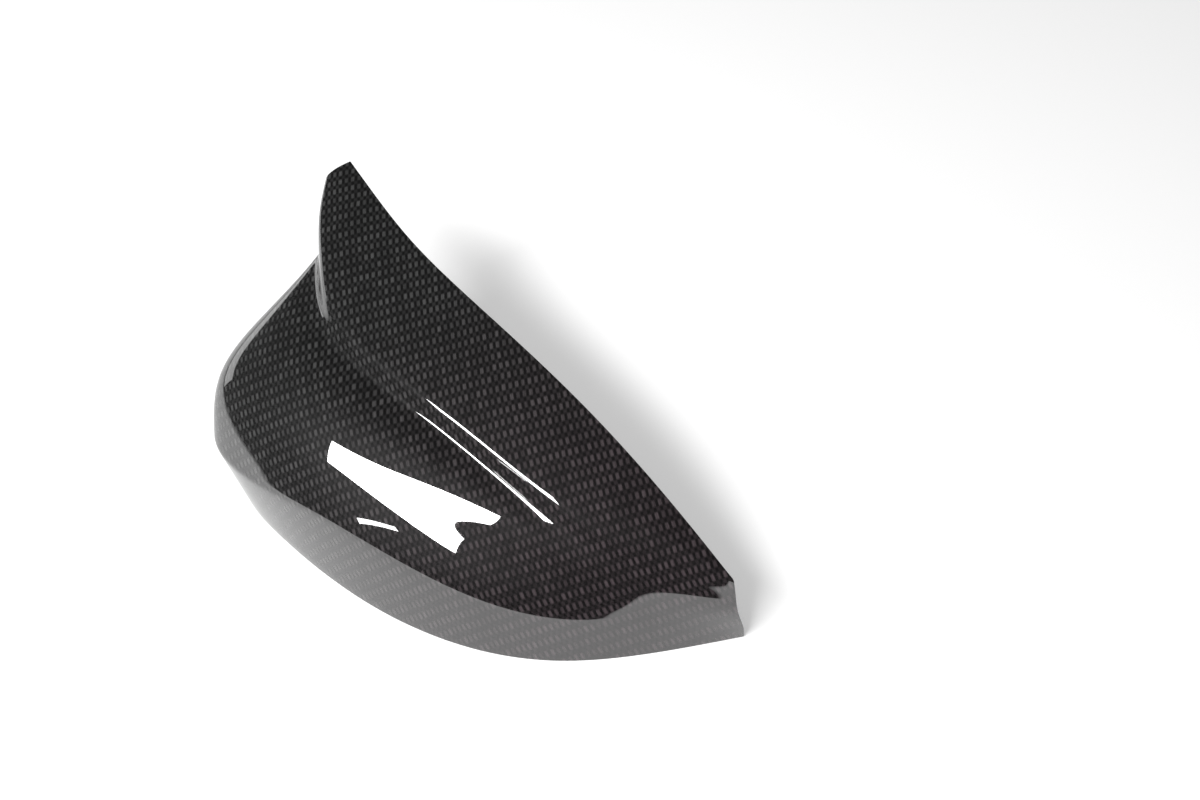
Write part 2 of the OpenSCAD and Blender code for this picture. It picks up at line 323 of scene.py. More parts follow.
plain_u, plain_v = stations(GRID_U), stations(GRID_V)
row_v = np.concatenate([np.zeros(BORDER), plain_v, np.full(BORDER, LAST_V)])
left_len = np.linalg.norm(slopes(np.zeros_like(row_v), row_v)[0], axis=-1)
right_len = np.linalg.norm(slopes(np.full_like(row_v, LAST_U), row_v)[0], axis=-1)
U = bordered(EDGE_R * QUARTER / left_len, EDGE_R * QUARTER / right_len, plain_u)
mean_u = U.mean(1)
top_len = np.linalg.norm(slopes(mean_u, np.zeros_like(mean_u))[1], axis=-1)
foot_len = np.linalg.norm(slopes(mean_u, np.full_like(mean_u, LAST_V))[1], axis=-1)
V = bordered(EDGE_R * QUARTER / top_len, FOOT_R * QUARTER / foot_len, plain_v).T
mean_v = V.mean(0)
NU, NV = U.shape
TIP_J = BORDER + int(np.flatnonzero(plain_v == UNDERSIDE_V)[0])
print("outer grid:", NU, "by", NV)

# %% [markdown]
# Along the tip of the horn the cut is square to x, along the rest of the back it is square to
# y, and at the foot it is square to z. Each rounding therefore sinks in the plane of its own
# cut, so that the cut face stays flat.

# %% Rounded outer face
def rounded(points):
    """Each point sinks by r - sqrt(r^2 - s^2), where s is how far it is inside the border
    strip of width r, towards the inside and in the plane of the cut."""
    along, across = slopes(U, V)
    normal = unit(np.cross(across, along))
    rear, tip, foot = [unit(normal * flat) for flat in ([1, 0, 1], [0, 1, 1], [1, 1, 0])]
    at_tip = (np.arange(NV) <= TIP_J)[None, :]
    left = EDGE_R - np.minimum(U * left_len, EDGE_R)
    right = EDGE_R - np.minimum((LAST_U - U) * right_len, EDGE_R)
    top = EDGE_R - np.minimum(V * top_len[:, None], EDGE_R)
    tip_s, rear_s = np.where(at_tip, left, 0), np.hypot(np.where(at_tip, 0, left), top) + right
    s = np.minimum(np.hypot(tip_s, rear_s), EDGE_R)
    inward = -unit(tip * tip_s[..., None] + rear * rear_s[..., None])
    points = points + inward * (EDGE_R - np.sqrt(EDGE_R**2 - s**2))[..., None]
    s = FOOT_R - np.minimum((LAST_V - V) * foot_len[:, None], FOOT_R)
    return points - foot * (FOOT_R - np.sqrt(FOOT_R**2 - s**2))[..., None]


true_skin = skin(U, V)
outer = rounded(true_skin)
outer[:, -1, 2] = cad_low[2]
print("outer face in mm:", ((outer.max((0, 1)) - outer.min((0, 1))) * 1000).round(2))

# %% [markdown]
# ## The rear frame
#
# At the back, the skin ends in a rim. Inside it a web closes the horn and the leg, and
# towards the opening there is a narrow groove and then a tongue, which the mirror housing
# plugs into. A profile carried along the rear edge makes all of this, because it changes
# smoothly from a groove along the top to a wide flat web on the horn. The profile is drawn
# at each station of the edge, from the rim to the lip.

# %% Rear path
WALL = 2.5 * MM
TIP_STEPS = 10
TURN = 3.5 * MM


def inward_along(path):
    """Into the opening at each point of a path, square to it in the rear plane. The direction
    of the path is taken over a short way to both sides, which eases it round corners, and
    near the floor it turns level."""
    run = np.concatenate([[0], np.cumsum(np.linalg.norm(np.diff(path, axis=0), axis=1))])
    ahead, behind = [
        np.stack([np.interp(run + side * TURN, run, path[:, k]) for k in range(3)], 1)
        for side in (1, -1)]
    along = ahead - behind
    level = ease(0, 3 * WALL, path[:, 2])
    return unit(np.stack([-along[:, 2], 0 * run, along[:, 0] * level], 1))


top_i = np.concatenate([np.full(NV - 1, NU - 1), np.arange(NU - 1, -1, -1)])
top_j = np.concatenate([np.arange(NV - 1, 0, -1), np.zeros(NU, int)])
leg_j = np.arange(TIP_J, NV)
top_path, leg_path = true_skin[top_i, top_j], true_skin[0, leg_j]
share = (np.arange(1, TIP_STEPS + 1) / (TIP_STEPS + 1))[:, None]
tip_path = mix(outer[0, 0], outer[0, TIP_J], share)
path = np.concatenate([top_path, tip_path, leg_path])
inward = np.concatenate([inward_along(top_path), np.tile([1.0, 0, 0], (TIP_STEPS, 1)),
                         inward_along(leg_path)])
print("stations along the rear edge:", len(path))

# %% [markdown]
# The horn's tip needs care: the rim turns two square corners within 15 mm. Points of the
# inner rim are kept one wall away from the tip, and those that fall together there are
# merged later.

# %% Rim
n_top, n_leg = len(top_path), len(leg_path)
on_tip = np.arange(n_top, n_top + TIP_STEPS)
tip_x = path[n_top - 1, 0] + WALL

rim = path + inward * WALL
rim[:, 0] = np.maximum(rim[:, 0], tip_x)
rim[on_tip, 0] = tip_x
rim[on_tip, 2] = np.clip(rim[on_tip, 2], rim[n_top + TIP_STEPS, 2], rim[n_top - 1, 2])
print("widest rim in mm:", (np.linalg.norm(rim - path, axis=1).max() * 1000).round(2))

# %% [markdown]
# Along the top, the lip runs beside the groove. Inboard it leaves the edge and goes round the
# corner of the opening on a row of its own, which ends on the floor. A number t says how far
# round the corner each station is: 0 where the lip leaves the edge, 2 at the horn's tip, 3 a
# little way down the leg and 6 on the floor.

# %% Lip
LIP_CORNER = [(-172, -9.3, 73.2), (-181, -9, 70), (-186.5, -8, 60), (-190.5, -7, 45),
              (-192.5, -6, 22), (-192.8, -5, 0)]
GROOVE_W, TONGUE = 2 * MM, 1.5 * MM
CORNER_U, SIDE_V = 4, 8
TIP_T, SIDE_T, FOOT_T = 2, 3, 6
SPREAD = 0.15

station_u = np.concatenate([U[top_i, top_j], np.zeros(TIP_STEPS + n_leg)])
on_top = np.concatenate([top_j == 0, np.zeros(TIP_STEPS + n_leg, bool)])
corner = (station_u <= CORNER_U) & (on_top | (np.arange(len(path)) >= n_top))
leg_v = V[0, leg_j]
top_t = np.where(top_j == 0, (CORNER_U - U[top_i, top_j]) / 2, 0)
leg_t = np.where(leg_v < SIDE_V, TIP_T + (leg_v - UNDERSIDE_V) / 2,
                 SIDE_T + (leg_v - SIDE_V) * 3 / 4)
turn_t = np.concatenate([top_t, np.full(TIP_STEPS, TIP_T), leg_t])
lip_t = np.concatenate([top_t - SPREAD * (np.maximum(top_t, 0) / TIP_T) ** 2,
                        mix(TIP_T - SPREAD, TIP_T + SPREAD, share[:, 0]),
                        leg_t + SPREAD * (1 - ease(TIP_T, SIDE_T, leg_t))])
edge_lip = rim + inward * (GROOVE_W + TONGUE)
first_corner = np.flatnonzero(corner)[0]
corner_row = padded(np.concatenate([edge_lip[first_corner][None], fit(np.array(LIP_CORNER))]))
lip = np.where(corner[:, None], spline(corner_row, np.clip(lip_t, 0, FOOT_T)), edge_lip)
print("lip goes round the corner from station", first_corner)

# %% [markdown]
# The outer end is slim, so the frame there has less than half of its depth, and least of all
# where the top edge turns down.

# %% Room for the frame
END_ROOM, CORNER_ROOM, FADE_RUN = 0.45, 0.25, 30 * MM


def room_at(points, on_end, in_corner):
    """The share of the frame's full depth that fits inside the skin at each station."""
    full = np.where(on_end, END_ROOM, 1)
    away = np.linalg.norm(points - true_skin[-1, 0], axis=-1)
    grown = ease(0, 1, away / (full * FADE_RUN))
    return np.where(in_corner, 1, mix(CORNER_ROOM, full, grown))


room = room_at(path, np.arange(len(path)) < NV - 1, corner)
print("least room:", room.min().round(3))

# %% Frame profile
GROOVE_D, LIP_LINE_D, WEB = 4 * MM, 1.4 * MM, 2 * MM
SETBACK, DRAFT = 0.6 * MM, 0.35
BANK_DROP, WEB_DROP = 0.4, 0.02
LEAST_BANK = 0.1 * MM


def forward(points, depth):
    """The points moved towards the front by a depth each."""
    return points - np.asarray(depth)[..., None] * np.array([0, 1, 0])


web_share = np.where(corner, ease(0, 1, turn_t), 0)
channel_d = mix(GROOVE_D, LIP_LINE_D, web_share) * room
frame_d = channel_d + WEB * room
width = np.linalg.norm(lip - rim, axis=1)
a = unit(lip - rim)
bank = lip - a * np.minimum(TONGUE + GROOVE_W, width - LEAST_BANK)[:, None]
back = SETBACK * room
bank_back = back + mix(BANK_DROP, WEB_DROP, web_share) * MM * room
root = lip - a * TONGUE
profile = np.stack([rim, forward(rim, back), forward(bank, bank_back),
                    forward(bank + a * GROOVE_W * DRAFT, channel_d), forward(root, channel_d),
                    forward(root, back), forward(lip, back), forward(lip, frame_d)], 1)
print("points in the profile:", profile.shape[1])

# %% [markdown]
# ## The inside
#
# The inner face lies one wall inside a copy of the skin with a softer ridge, as a moulding
# keeps an even wall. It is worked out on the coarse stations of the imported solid, where the
# offset can't cross itself at the ridge, and then drawn smoothly through those points.

# %% Curve through a grid
def through(grid, t, axis):
    """A smooth curve through the points of a grid along one axis, at each t. The weights are
    those of Catmull and Rom's spline, which passes through every point."""
    grid = padded(np.moveaxis(grid, axis, 0))
    first = np.clip(np.floor(t).astype(int), 0, len(grid) - 4)
    f = (t - first).reshape(-1, *[1] * (grid.ndim - 1))
    w = [-f**3 + 2 * f**2 - f, 3 * f**3 - 5 * f**2 + 2, -3 * f**3 + 4 * f**2 + f, f**3 - f**2]
    return np.moveaxis(sum(w[k] * grid[first + k] for k in range(4)) / 2, 0, axis)


SOFT_RIDGE_R = RIDGE_R + WALL / MM
solid_u, solid_v = stations([7] * 4 + [5] * 4), stations([3, 3, 2, 3, 2, 3, 3, 3, 2, 2, 2, 3])
print("stations of the solid:", len(solid_u), "by", len(solid_v))


def span(u, v, step_u, step_v):
    """How far the softer skin moves from u, v for whole steps of u and v."""
    moved, still = skin(u + step_u, v + step_v, SOFT_RIDGE_R), skin(u, v, SOFT_RIDGE_R)
    return np.linalg.norm(moved - still, axis=-1)


# %% Inner face
MOST_ROWS = 1.8
edge_points = skin(solid_u, 0 * solid_u)
edge_corner = solid_u <= CORNER_U
edge_share = np.where(edge_corner, ease(0, 1, (CORNER_U - solid_u) / 2), 0)
edge_room = room_at(edge_points, False, edge_corner)
edge_depth = (mix(GROOVE_D, LIP_LINE_D, edge_share) + WEB) * edge_room
start_depth = np.where(solid_v < UNDERSIDE_V, WALL, LIP_LINE_D + WEB)
end_depth = GROOVE_D + WEB + 1.2 * WALL
start = start_depth / span(0 * solid_v, solid_v, 1, 0)
end = LAST_U - end_depth / span(0 * solid_v + LAST_U, solid_v, -1, 0)
inner_u = mix(start, end, (solid_u / LAST_U)[:, None])
first_v = np.minimum(MOST_ROWS, edge_depth[:, None] / span(inner_u, 0 * inner_u, 0, 1))
inner_v = mix(first_v, LAST_V, solid_v / LAST_V)
lining = skin(inner_u, inner_v, SOFT_RIDGE_R)
wide = np.pad(lining, ((1, 1), (1, 1), (0, 0)), mode="edge")
n = unit(np.cross(wide[1:-1, 2:] - wide[1:-1, :-2], wide[2:, 1:-1] - wide[:-2, 1:-1]))
n[0, : int(np.flatnonzero(solid_v == UNDERSIDE_V)[0]) + 1, 0] = 0
n[..., 2] *= ease(0, 3 * WALL, lining[..., 2])
inner = through(lining - unit(n) * WALL, np.interp(mean_u, solid_u, np.arange(len(solid_u))), 0)
inner = through(inner, np.interp(mean_v, solid_v, np.arange(len(solid_v))), 1)
inner[:, -1, 2] = cad_low[2]
print("inner face in mm:", ((inner.max((0, 1)) - inner.min((0, 1))) * 1000).round(1))

# %% [markdown]
# ## One closed mesh
#
# The faces share their border points, so the moulding is one closed skin, like the real
# part. Corners of the profile get small roundings first: each is a short curve from one side
# to the other that bends towards the corner.

# %% Rounded profile
CORNER_RADII = np.array([0.35, 0.25, 0.3, 0.25, 0.25, 0.35, 0.35, 0.3]) * MM
CURVE_T = np.array([0, 1 / 3, 2 / 3, 1])


def eased_corners(points, radii):
    """Each inner corner of a line of points becomes four points on a curve of the second
    degree, whose ends lie one radius, or at most 0.45 of the side, from the corner."""
    mid = points[:, 1:-1]
    cut = []
    for other in (points[:, :-2], points[:, 2:]):
        side = other - mid
        length = np.linalg.norm(side, axis=-1, keepdims=True)
        cut.append(mid + unit(side) * np.minimum(radii[:, None], 0.45 * length))
    t = CURVE_T[:, None]
    curve = ((1 - t) ** 2 * cut[0][:, :, None] + 2 * t * (1 - t) * mid[:, :, None]
             + t**2 * cut[1][:, :, None])
    return curve.reshape(len(points), -1, points.shape[-1])


rim_out = np.concatenate([outer[top_i, top_j], tip_path, outer[0, leg_j]])
tip_inner = mix(inner[0, 0], inner[0, TIP_J], share)
rim_in = np.concatenate([inner[top_i, top_j], tip_inner, inner[0, leg_j]])
frame_lines = np.concatenate([rim_out[:, None], profile, rim_in[:, None]], 1)
eased = eased_corners(frame_lines, CORNER_RADII)
for station in (0, -1):
    eased[station, :, 2] = cad_low[2]
print("points round the frame:", eased.shape[1], "at", len(path), "stations")

# %% Vertex numbers
CARBON, SATIN, INSIDE = 0, 1, 2
out_id = np.arange(NU * NV).reshape(NU, NV)
in_id = out_id + NU * NV
eased_id = 2 * NU * NV + np.arange(eased.shape[0] * eased.shape[1]).reshape(eased.shape[:2])
tip_id = eased_id[-1, -1] + 1 + np.arange(2 * TIP_STEPS).reshape(2, TIP_STEPS)
vertices = [*(part.reshape(-1, 3) for part in (outer, inner, eased)), tip_path, tip_inner]
count = sum(len(v) for v in vertices)
print("vertices before the caps:", count)

# %% Face tools
faces, finishes = [], []


def sheet(ids, finish):
    """The four-sided faces of a grid of vertex numbers."""
    quads = np.stack([ids[:-1, :-1], ids[:-1, 1:], ids[1:, 1:], ids[1:, :-1]], -1)
    quads = quads.reshape(-1, 4)
    faces.extend(quads.tolist())
    finishes.extend([finish] * len(quads))


def cap(loop, finish, rings=4):
    """A loop closed by smaller copies of itself and a fan round its middle."""
    global count
    points = np.concatenate(vertices)[loop]
    middle = points.mean(0)
    ids = [loop]
    for k in range(1, rings):
        vertices.append(mix(points, middle, k / rings))
        ids.append(count + np.arange(len(loop)))
        count += len(loop)
    sheet(np.stack([np.append(row, row[0]) for row in ids]), finish)
    vertices.append(middle[None])
    fan = np.stack([ids[-1], np.roll(ids[-1], -1), np.full(len(loop), count)], -1)
    faces.extend(fan.tolist())
    finishes.extend([finish] * len(fan))
    count += 1


print("finish numbers:", CARBON, SATIN, INSIDE)

# %% Faces of the moulding
ring = np.concatenate([
    np.concatenate([out_id[top_i, top_j], tip_id[0], out_id[0, leg_j]])[:, None], eased_id,
    np.concatenate([in_id[top_i, top_j], tip_id[1], in_id[0, leg_j]])[:, None]], 1)
sheet(out_id, CARBON)
sheet(in_id, INSIDE)
sheet(ring[:, :-1], SATIN)
sheet(ring[:, -2:], INSIDE)
cap(np.concatenate([out_id[0, : TIP_J + 1], tip_id[0, ::-1]]), CARBON)
cap(np.concatenate([in_id[0, : TIP_J + 1], tip_id[1, ::-1]]), INSIDE)
sheet(np.stack([out_id[:, -1], in_id[:, -1]]), SATIN)
faces += [ring[0].tolist(), ring[-1].tolist()]
finishes += [SATIN, SATIN]
print("faces of the moulding:", len(faces))

# %% [markdown]
# ## Snap tabs
#
# Three tabs hang in front of the frame's top and catch on the mirror housing. Each is a
# tapered plate with a sloping nose at its end and a thin gusset on both sides, as moulded
# clips have. All of them are a side profile carried across a width, so one function makes
# them, and it takes a little off the profile at both ends for a chamfer.

# %% Snap tab shapes
TAB_W, TAB_REACH, TAB_T, TAB_NOSE = 12 * MM, 7 * MM, 2 * MM, 1.2 * MM
TAB_COUNT, SUNK, OVERLAP = 3, WALL / 3, 0.4 * MM
ROOT_W = TAB_W + 3 * MM
REACH = SUNK + GROOVE_W + TONGUE + TAB_REACH
NOSE_FROM, NOSE_BACK = REACH - 3 * TAB_NOSE, 0.5 * MM
GUSSET_T, GUSSET_H, GUSSET_TOP = 1 * MM, 3.5 * TAB_T, 0.6 * MM
GUSSET_FROM = TAB_T - 0.1 * MM
CHAMFER, TAB_EASE = 0.2 * MM, 0.25 * MM
plate = np.array([(0, 0), (REACH, 0), (REACH, TAB_T), (NOSE_FROM, TAB_T + TAB_NOSE),
                  (NOSE_FROM - NOSE_BACK, TAB_T), (0, TAB_T)])
gusset = np.array([(0, GUSSET_FROM), (REACH - TAB_REACH * 2 / 3, GUSSET_FROM),
                   (GUSSET_TOP, GUSSET_H), (0, GUSSET_H)])


def prism(profile, half_width, centre=0):
    """The profile with eased corners at four places across the width, the outer two of them
    drawn in by the chamfer. Columns are reach, depth and width."""
    loop = np.concatenate([profile[-1:], profile, profile[:1]])
    loop = eased_corners(loop[None], np.full(len(profile), TAB_EASE))[0]
    rows = []
    for side, shrink in ((-1, 1), (-1, 0), (1, 0), (1, 1)):
        drawn_in = loop - unit(loop - loop.mean(0)) * CHAMFER * shrink
        place = centre + side * (half_width(drawn_in[:, 0]) - CHAMFER * shrink)
        rows.append(np.column_stack([drawn_in, place]))
    return np.stack(rows)


shapes = [prism(plate, lambda reach: mix(ROOT_W, TAB_W, reach / REACH) / 2)]
shapes += [prism(gusset, lambda reach: GUSSET_T / 2 + 0 * reach, side * (ROOT_W / 2 - GUSSET_T))
           for side in (-1, 1)]
print("a tab has", sum(s.shape[0] * s.shape[1] for s in shapes), "vertices")

# %% Snap tabs in place
PAST_CORNER, BEFORE_END = 4, 8
first_tab = int(np.flatnonzero(solid_u == CORNER_U)[0]) + PAST_CORNER
last_tab = len(solid_u) - BEFORE_END
for k in range(TAB_COUNT):
    i = int(math.floor(mix(first_tab, last_tab, (k + 0.5) / TAB_COUNT) + 0.5))
    along = edge_points[i - 1] - edge_points[i + 1]
    into = unit(np.array([-along[2], 0, along[0]]))
    tangent = np.cross(into, [0, 1, 0])
    edge = edge_points[i] + into * WALL
    under = np.array([np.interp(solid_u[i], mean_u, inner[:, 0, c]) for c in range(3)])
    root_at = forward(edge, edge_depth[i] - OVERLAP) + into * ((under - edge) @ into - SUNK)
    for shape in shapes:
        placed = (root_at + shape[..., :1] * into + shape[..., 1:2] * np.array([0, -1, 0])
                  + shape[..., 2:] * tangent)
        ids = count + np.arange(placed.shape[0] * placed.shape[1]).reshape(placed.shape[:2])
        vertices.append(placed.reshape(-1, 3))
        count += ids.size
        sheet(np.concatenate([ids, ids[:, :1]], 1), SATIN)
        faces += [ids[0].tolist(), ids[-1].tolist()]
        finishes += [SATIN, SATIN]
print("snap tabs:", TAB_COUNT, "reaching", round(REACH * 1000, 1), "mm")

# %% [markdown]
# ## How the cloth lies
#
# Twill is a flat cloth draped over a form, so its rows keep one direction and bend only with
# the form. The photo shows rows that rise the same way all over the cover. A flat projection
# does just that, seen along a slanted direction from which almost the whole visible face is
# turned towards the eye. Where the inboard side turns away from it, each step along u is
# lengthened to nearly its true length, so that the pattern isn't smeared there.

# %% Cloth coordinates
DRAPE = unit(np.array([0.2, -0.6, 0.7]))
ROW_ANGLE = math.radians(55.3)
LEAST_SHARE = 0.8
MIDDLE_U = 3.5
REFERENCE = int(np.argmin(np.abs(mean_u - MIDDLE_U)))


def cloth(points):
    """Flat coordinates along and across the rows of the cloth, by projection along DRAPE.
    Steps along u shorter than LEAST_SHARE of their true length are lengthened to that."""
    ex = unit(np.array([1, 0, 0]) - DRAPE[0] * DRAPE)
    ey = np.cross(DRAPE, ex)
    flat = np.stack([points @ ex, points @ ey], -1)
    step = np.diff(flat, axis=0)
    true = np.linalg.norm(np.diff(points, axis=0), axis=-1, keepdims=True)
    short = np.maximum(1, LEAST_SHARE * true / np.linalg.norm(step, axis=-1, keepdims=True))
    run = np.concatenate([np.zeros_like(flat[:1]), np.cumsum(step * short, 0)])
    flat = flat[REFERENCE] + run - run[REFERENCE]
    c, s = math.cos(ROW_ANGLE), math.sin(ROW_ANGLE)
    x, y = flat[..., 0], flat[..., 1]
    return np.stack([x * c + y * s, y * c - x * s], -1)


weave = cloth(true_skin)
print("cloth in mm:", (np.ptp(weave.reshape(-1, 2), axis=0) * 1000).round())

# %% [markdown]
# ## The mesh goes into Blender
#
# Each corner of a face carries its cloth coordinates as a UV map named cloth. The points are
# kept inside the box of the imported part, which a smooth curve can pass by a hair. After that,
# points that fall together are merged, and all faces are turned outwards.

# %% Mesh and UV map
points = np.clip(np.concatenate(vertices), cad_low, cad_high)
mesh = bpy.data.meshes.new("cover_shell_moulding")
mesh.from_pydata(points.tolist(), [], faces)
mesh.polygons.foreach_set("material_index", finishes)
uv_of_point = points[:, [0, 2]].copy()
uv_of_point[: NU * NV] = weave.reshape(-1, 2)
corner_point = np.empty(len(mesh.loops), int)
mesh.loops.foreach_get("vertex_index", corner_point)
starts, sizes = np.empty(len(faces), int), np.empty(len(faces), int)
mesh.polygons.foreach_get("loop_start", starts)
mesh.polygons.foreach_get("loop_total", sizes)
face_of_corner = np.repeat(np.arange(len(faces)), sizes)
outer_faces = (NU - 1) * (NV - 1)
on_cap = (np.array(finishes)[face_of_corner] == CARBON) & (face_of_corner >= outer_faces)
uv = np.where(on_cap[:, None], points[corner_point][:, [1, 2]], uv_of_point[corner_point])
mesh.uv_layers.new(name="cloth").data.foreach_set("uv", uv.astype(np.float32).ravel())
print("corners of faces with cloth coordinates:", len(uv))

# %% Merge, turn outwards and smooth
SHARP_DEGREES = 32
shaper = bmesh.new()
shaper.from_mesh(mesh)
bmesh.ops.remove_doubles(shaper, verts=shaper.verts, dist=1e-6)
bmesh.ops.dissolve_degenerate(shaper, edges=shaper.edges, dist=1e-7)
bmesh.ops.recalc_face_normals(shaper, faces=shaper.faces)
open_edges = sum(1 for e in shaper.edges if len(e.link_faces) != 2)
triangles = sum(len(f.verts) - 2 for f in shaper.faces)
volume = shaper.calc_volume(signed=True)
shaper.to_mesh(mesh)
shaper.free()
mesh.shade_smooth()
mesh.set_sharp_from_angle(angle=math.radians(SHARP_DEGREES))
cover = bpy.data.objects.new("cover_shell_moulding", mesh)
bpy.context.scene.collection.objects.link(cover)
print("triangles:", triangles, "open edges:", open_edges, "volume cm3:", round(volume * 1e6, 1))

# %% [markdown]
# ## Node helper
#
# The finishes are built from nodes. This helper adds a node, fills its inputs and connects
# links, so that each finish reads as a short list of steps.

# %% Node helper
def add(tree, kind, inputs=None, **settings):
    """A new node of a kind. An input takes a number, a colour, or another node's output."""
    node = tree.nodes.new("ShaderNode" + kind)
    for name, value in settings.items():
        setattr(node, name, value)
    for name, value in (inputs or {}).items():
        if isinstance(value, bpy.types.NodeSocket):
            tree.links.new(value, node.inputs[name])
        else:
            node.inputs[name].default_value = value
    return node


def calc(tree, operation, *values):
    """The output of a Math node."""
    return add(tree, "Math", dict(enumerate(values)), operation=operation).outputs[0]


def smooth_step(tree, value, low, high, start=0.0, stop=1.0):
    """start below low, stop above high, and a smooth change between them."""
    inputs = {"Value": value, "From Min": low, "From Max": high,
              "To Min": start, "To Max": stop}
    return add(tree, "MapRange", inputs, interpolation_type="SMOOTHSTEP").outputs["Result"]


def finish(name, **values):
    """A new material with its shader's own numbers, and its tree and shader."""
    material = bpy.data.materials.new(name)
    material.use_nodes = True
    shader = material.node_tree.nodes["Principled BSDF"]
    for socket, value in values.items():
        shader.inputs[socket.replace("_", " ")].default_value = value
    return material, material.node_tree, shader


print("node helpers are ready")

# %% [markdown]
# ## Twill under a clear coat
#
# In twill, each tow passes over two others and then under two. The tows that lie on top
# catch the light as short dashes in slanting rows, and the crossing tows between the rows
# stay darker. The pattern is worked out from the cloth coordinates: the distance from the
# middle of the nearest dash gives its shape, a random number for each dash gives its own
# brightness, and stretched noise draws the filaments. The tows are slightly raised, but only
# below the coat, which stays smooth and mirrors the room.

# %% Coat and cloth lattice
DASH_PITCH, ROW_PITCH = 2.4 * MM, 4.8 * MM
DRIFT = 1.2 * MM

carbon, tree, shader = finish(
    "carbon_clear_coat", Roughness=0.5, IOR=1.5, Specular_IOR_Level=0.12,
    Coat_Weight=1.0, Coat_Roughness=0.015, Coat_IOR=1.95)
at = add(tree, "UVMap", uv_map="cloth").outputs["UV"]
drift = add(tree, "TexNoise", {"Vector": at, "Scale": 60.0, "Detail": 2.0}).outputs["Color"]
drift = add(tree, "VectorMath", {0: drift, 1: (0.5, 0.5, 0.5)}, operation="SUBTRACT").outputs[0]
drift = add(tree, "VectorMath", {0: drift, "Scale": DRIFT}, operation="SCALE").outputs[0]
at = add(tree, "VectorMath", {0: at, 1: drift}, operation="ADD").outputs[0]
axes = add(tree, "SeparateXYZ", {0: at})
along_rows = calc(tree, "DIVIDE", axes.outputs["X"], DASH_PITCH)
across_rows = calc(tree, "DIVIDE", axes.outputs["Y"], ROW_PITCH)
print("carbon's lattice nodes:", len(tree.nodes))

# %% Dashes
SOFT = 0.14


def dashes(shift_along, shift_across, half_wide, half_long):
    """Dashes on the cloth's lattice, moved by a share of the pitches: 1 on a dash, falling to
    0 round it, times a random brightness for each dash."""
    s = calc(tree, "ADD", along_rows, shift_along)
    t = calc(tree, "ADD", across_rows, shift_across)
    from_s = calc(tree, "ABSOLUTE", calc(tree, "SUBTRACT", calc(tree, "FRACT", s), 0.5))
    from_t = calc(tree, "ABSOLUTE", calc(tree, "SUBTRACT", calc(tree, "FRACT", t), 0.5))
    narrow = smooth_step(tree, from_s, half_wide - SOFT, half_wide + SOFT, 1, 0)
    short = smooth_step(tree, from_t, half_long - SOFT, half_long + SOFT, 1, 0)
    cell = add(tree, "CombineXYZ", {"X": calc(tree, "FLOOR", s), "Y": calc(tree, "FLOOR", t)})
    chance = add(tree, "TexWhiteNoise", {"Vector": cell.outputs[0]}, noise_dimensions="2D")
    bright = smooth_step(tree, chance.outputs["Value"], 0, 1, 0.65, 1.25)
    return calc(tree, "MULTIPLY", calc(tree, "MULTIPLY", narrow, short), bright)


light = dashes(0, 0, half_wide=0.26, half_long=0.27)
dark = dashes(0.5, 0.5, half_wide=0.27, half_long=0.18)
print("with dashes:", len(tree.nodes))

# %% [markdown]
# Each dash gets fine filaments from noise that is stretched along it. In the photo the horn
# is a neutral grey and the outer half is slightly warmer, so the tows turn a little reddish
# from the horn to the outer end. The light dashes also give the relief below the coat.

# %% Filaments, colour and relief
RESIN, TOW_LIGHT, TOW_DARK = 0.004, 0.052, 0.018
HAIRS = 9.0
NEUTRAL, REDDISH = (1, 1, 1, 1), (1, 0.77, 0.85, 1)
WARM_FROM, WARM_TO = -0.07, 0.10
fine = calc(tree, "MULTIPLY", along_rows, HAIRS)
hair_at = add(tree, "CombineXYZ", {"X": fine, "Y": across_rows})
hair = add(tree, "TexNoise", {"Vector": hair_at.outputs[0], "Scale": 1.0, "Detail": 3.0})
hair = smooth_step(tree, hair.outputs["Fac"], 0.3, 0.7, 0.75, 1.2)
light = calc(tree, "MULTIPLY", light, hair)
grey = calc(tree, "MULTIPLY_ADD", light, TOW_LIGHT, RESIN)
grey = calc(tree, "MULTIPLY_ADD", dark, TOW_DARK, grey)
outboard = add(tree, "SeparateXYZ", {0: add(tree, "TexCoord").outputs["Object"]}).outputs["X"]
warm = smooth_step(tree, outboard, WARM_FROM, WARM_TO, 0, 1)
tint = add(tree, "Mix", {0: warm, 6: NEUTRAL, 7: REDDISH}, data_type="RGBA")
colour = add(tree, "VectorMath", {0: tint.outputs[2], "Scale": grey}, operation="SCALE")
tree.links.new(colour.outputs[0], shader.inputs["Base Color"])
bump = add(tree, "Bump", {"Strength": 0.4, "Distance": 0.15 * MM, "Height": light})
tree.links.new(bump.outputs["Normal"], shader.inputs["Normal"])
print("carbon nodes:", len(tree.nodes))

# %% [markdown]
# ## Plain black finishes
#
# The rear frame is smooth satin black with a faint unevenness, and the inside is the matte
# back of the moulding, where the cloth's resin has a fine grain.

# %% Satin frame
satin, tree, shader = finish("black_satin_frame", Roughness=0.3, Specular_IOR_Level=0.5,
                             Coat_Weight=0.4, Coat_Roughness=0.12)
at = add(tree, "TexCoord").outputs["Object"]
cloudy = add(tree, "TexNoise", {"Vector": at, "Scale": 90.0, "Detail": 3.0}).outputs["Fac"]
ramp = add(tree, "MapRange", {"Value": cloudy, "To Min": 0.24, "To Max": 0.36})
tree.links.new(ramp.outputs["Result"], shader.inputs["Roughness"])
shade = add(tree, "ValToRGB", {"Fac": cloudy})
shade.color_ramp.elements[0].color = (0.011, 0.011, 0.012, 1)
shade.color_ramp.elements[1].color = (0.018, 0.018, 0.019, 1)
tree.links.new(shade.outputs["Color"], shader.inputs["Base Color"])
print("satin nodes:", len(tree.nodes))

